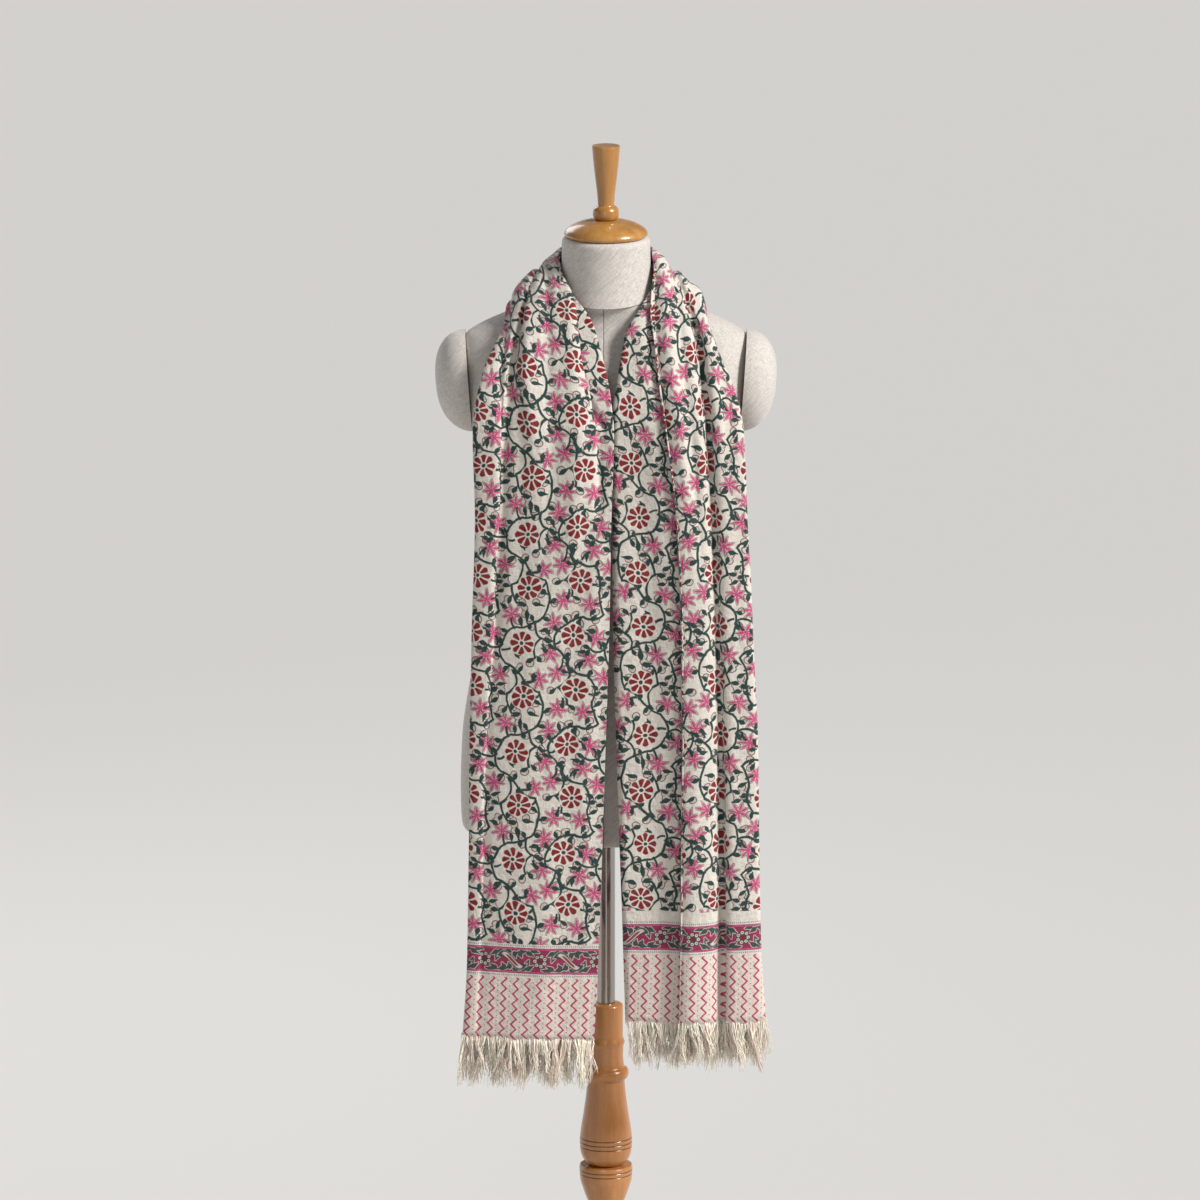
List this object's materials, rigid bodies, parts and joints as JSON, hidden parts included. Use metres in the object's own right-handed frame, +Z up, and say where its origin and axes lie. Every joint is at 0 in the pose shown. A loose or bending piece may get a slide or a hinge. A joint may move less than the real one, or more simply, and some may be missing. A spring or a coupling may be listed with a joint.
{
  "type": "wool shawl on a dress form",
  "caption": "Long fringed shawl of light printed cloth hung round the neck of a limbless linen dress form, both ends pleated down the front, on a steel pole and a turned wooden stand.",
  "frame": {"origin": "on the floor, under the middle of the stand's pole", "axes": "+Z up the pole, the front of the dress form faces -Y, +X to the right as seen from the front"},
  "size_m": [0.4078, 0.33, 1.5413],
  "materials": {
    "cloth": "matte, plain weave with a fine printed pattern",
    "thread": "matte frayed thread",
    "linen": "matte linen weave",
    "wood": "glossy honey varnish",
    "steel": "polished tube"
  },
  "bodies": {
    "root": {"shawl_left_drop": "cloth", "shawl_right_drop": "cloth", "shawl_nape": "cloth", "fringe_left": "thread", "fringe_right": "thread", "form_torso": "linen", "form_neck": "linen", "form_shoulder_cap_left": "linen", "form_shoulder_cap_right": "linen", "neck_cap": "wood", "finial": "wood", "pole": "steel", "column": "wood", "column_cup": "wood", "base": "wood"}
  },
  "joints": []
}
